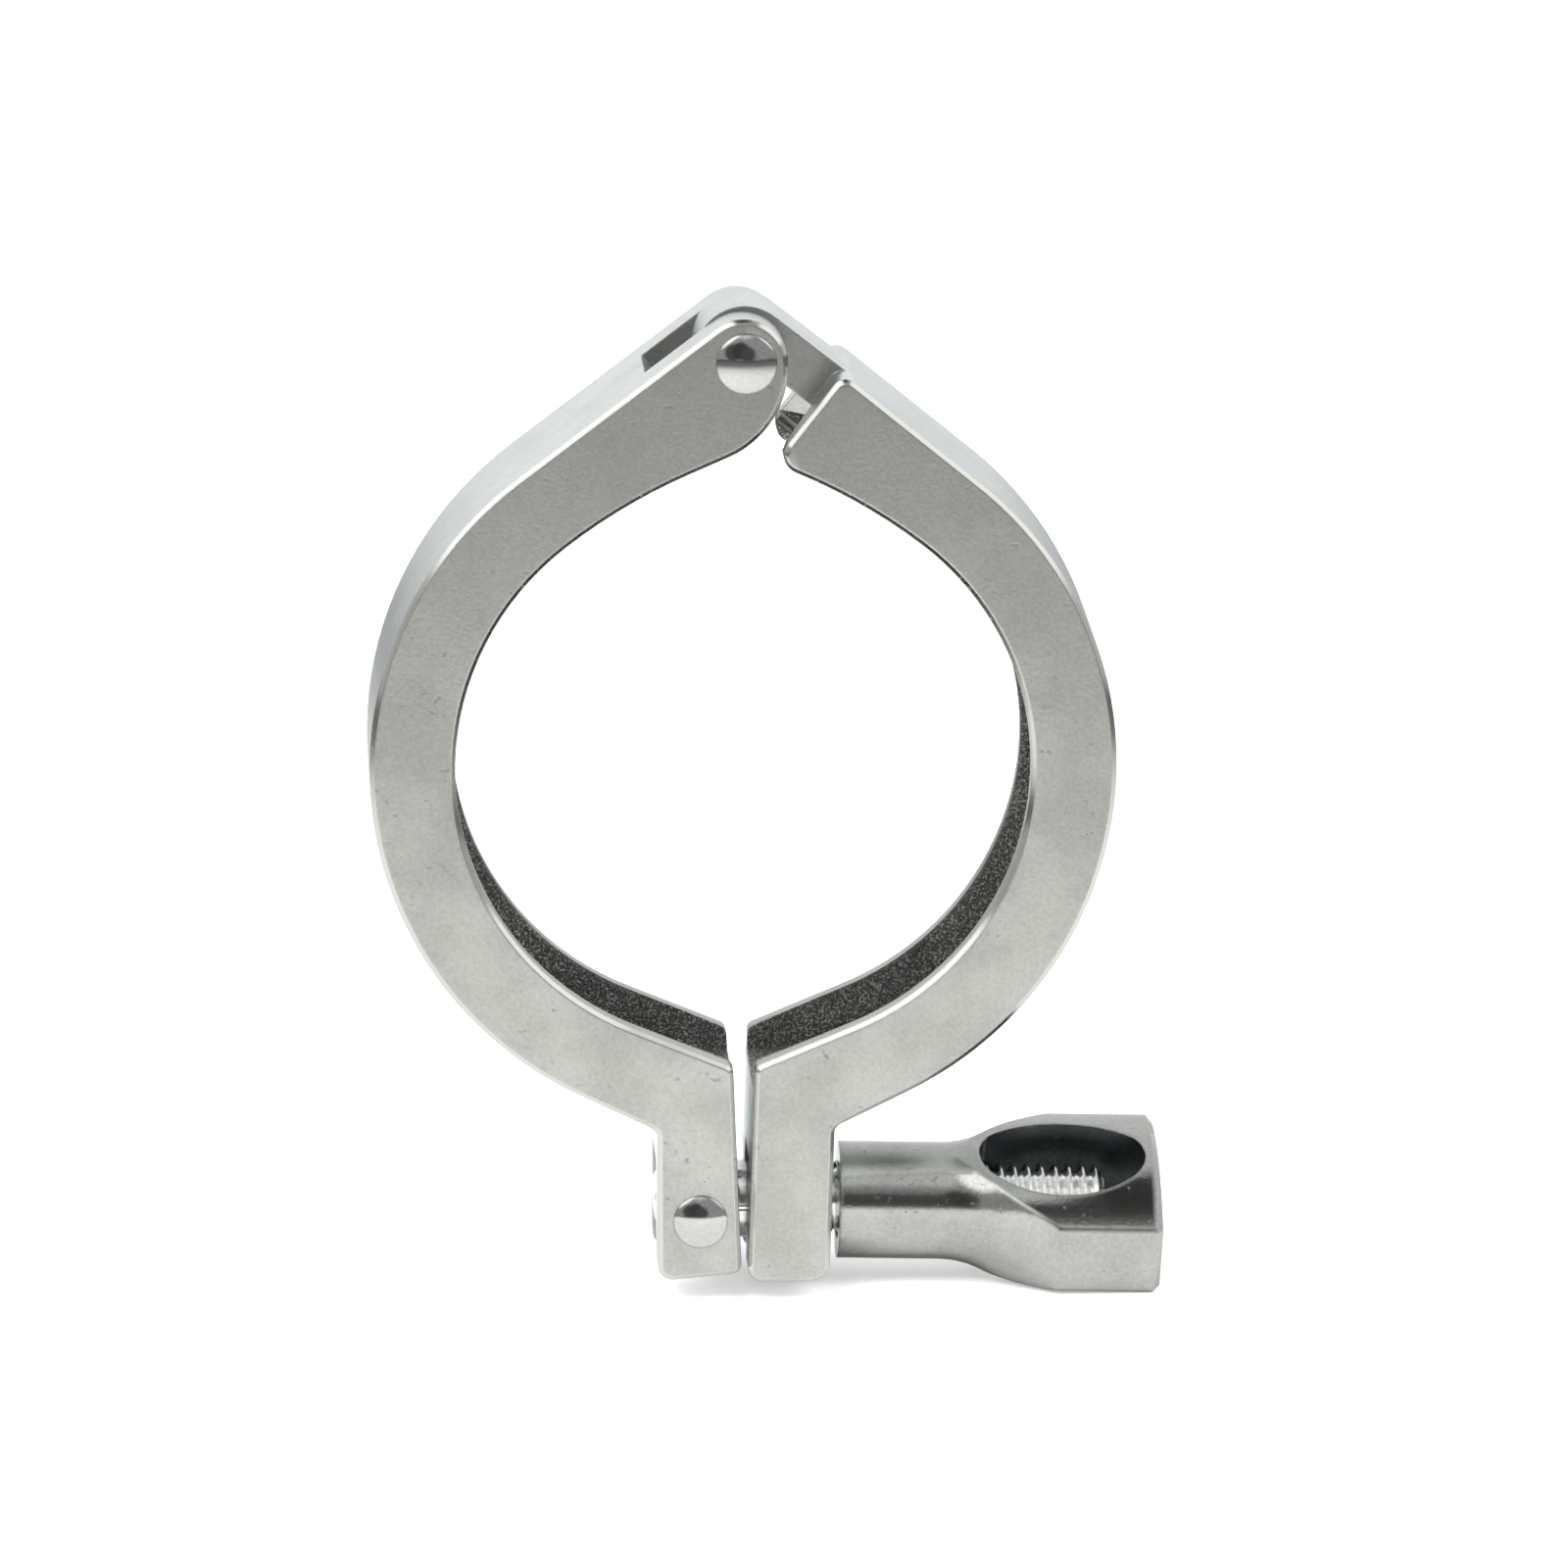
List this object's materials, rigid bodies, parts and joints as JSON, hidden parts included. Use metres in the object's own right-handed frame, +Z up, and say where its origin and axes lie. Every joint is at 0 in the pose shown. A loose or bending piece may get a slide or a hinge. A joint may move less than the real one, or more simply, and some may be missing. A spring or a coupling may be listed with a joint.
{
  "type": "sanitary hinged clamp",
  "caption": "Cast stainless clamp with a grooved ring hinged on one rivet, closed by a swing bolt and a long wing nut, for flanged hygienic tube ends.",
  "frame": {"origin": "centre of the clamp's bore, midway along its width", "axes": "+Y along the bore, towards the back face; +Z up, towards the hinge rivet; +X towards the wing nut"},
  "size_m": [0.0812, 0.0218, 0.103],
  "materials": {
    "cast_steel": "tumbled satin casting with ground edges",
    "polished_rivet": "mirror polished",
    "bolt_steel": "bright machined",
    "nut_steel": "polished casting"
  },
  "bodies": {
    "left_half": {"left_half": "cast_steel", "hinge_pin": "polished_rivet", "bolt_pin": "polished_rivet"},
    "right_half": {"right_half": "cast_steel"},
    "swing_bolt": {"swing_bolt": "bolt_steel"},
    "wing_nut": {"wing_nut": "nut_steel"}
  },
  "joints": [
    {"name": "half_open", "type": "hinge", "parent": "left_half", "child": "right_half", "pos_m": [0.0003, 0, 0.042], "axis": [0, -1, 0], "range_deg": [0, 100]},
    {"name": "bolt_swing", "type": "hinge", "parent": "left_half", "child": "swing_bolt", "pos_m": [-0.0045, 0, -0.0475], "axis": [0, 1, 0], "range_deg": [0, 170]},
    {"name": "nut_travel", "type": "slide", "parent": "swing_bolt", "child": "wing_nut", "axis": [0.9997, 0, -0.0262], "range_m": [0, 0.025]}
  ],
  "couplings": [
    {"joint": "half_open", "follows": "nut_travel", "rad_per_m": 10.4}
  ]
}
